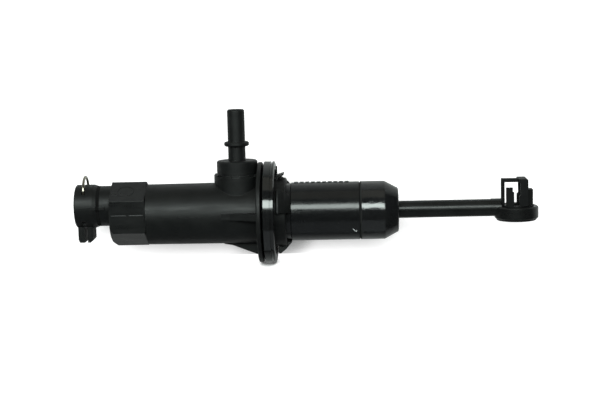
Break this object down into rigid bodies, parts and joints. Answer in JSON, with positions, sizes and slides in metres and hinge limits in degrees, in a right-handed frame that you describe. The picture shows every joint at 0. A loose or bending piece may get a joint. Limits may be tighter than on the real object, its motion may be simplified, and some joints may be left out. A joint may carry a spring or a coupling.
{
  "type": "clutch master cylinder",
  "caption": "Plastic hydraulic master cylinder with push rod and pin eye, hose spigot, bulkhead flange with seal and twist-lock lugs, and clipped pressure outlet.",
  "frame": {"origin": "on the bore's axis, in the plane of the seal's land that meets the bulkhead", "axes": "+X along the bore towards the push rod, +Z along the reservoir spigot, up"},
  "size_m": [0.2139, 0.047, 0.0715],
  "materials": {
    "satin_plastic": "satin",
    "gloss_plastic": "gloss",
    "seal_rubber": "gloss",
    "cup_rubber": "satin",
    "natural_plastic": "satin",
    "bearing_plastic": "satin",
    "rod_plastic": "satin",
    "plunger_metal": "ground",
    "plain_steel": "ground",
    "spring_steel": "drawn",
    "wire_steel": "bright drawn"
  },
  "bodies": {
    "cylinder": {"front_housing": "satin_plastic", "rear_housing": "gloss_plastic", "end_cap": "gloss_plastic", "bulkhead_seal": "seal_rubber", "primary_seal": "cup_rubber", "seal_spacer": "natural_plastic", "secondary_seal": "cup_rubber", "guide_bush": "bearing_plastic", "stop_washer": "plain_steel", "spring_seat": "natural_plastic", "return_spring": "spring_steel", "inlet_fitting": "satin_plastic", "outlet_o_ring": "cup_rubber", "outlet_backup_ring": "bearing_plastic", "housing_o_ring": "cup_rubber", "inlet_o_ring": "cup_rubber"},
    "plunger": {"piston": "plunger_metal", "piston_guide_ring": "bearing_plastic"},
    "socket": {"thrust_pad": "plain_steel", "ball_retainer": "natural_plastic"},
    "rod": {"push_rod": "rod_plastic", "pedal_pin_clip": "rod_plastic"},
    "clip": {"outlet_clip": "wire_steel"}
  },
  "joints": [
    {"name": "plunger_slide", "type": "slide", "parent": "cylinder", "child": "plunger", "axis": [-1, 0, 0], "range_m": [0, 0.03], "stiffness_N_per_m": 600, "springref_m": -0.03, "deforming": ["return_spring"]},
    {"name": "rod_spin", "type": "hinge", "parent": "plunger", "child": "socket", "pos_m": [0.022, 0, 0], "axis": [1, 0, 0], "continuous": true},
    {"name": "rod_swing", "type": "hinge", "parent": "socket", "child": "rod", "pos_m": [0.022, 0, 0], "axis": [0, 0, 1], "range_deg": [-3, 3]},
    {"name": "outlet_clip_lift", "type": "slide", "parent": "cylinder", "child": "clip", "axis": [0, 0, 1], "range_m": [0, 0.004]}
  ]
}
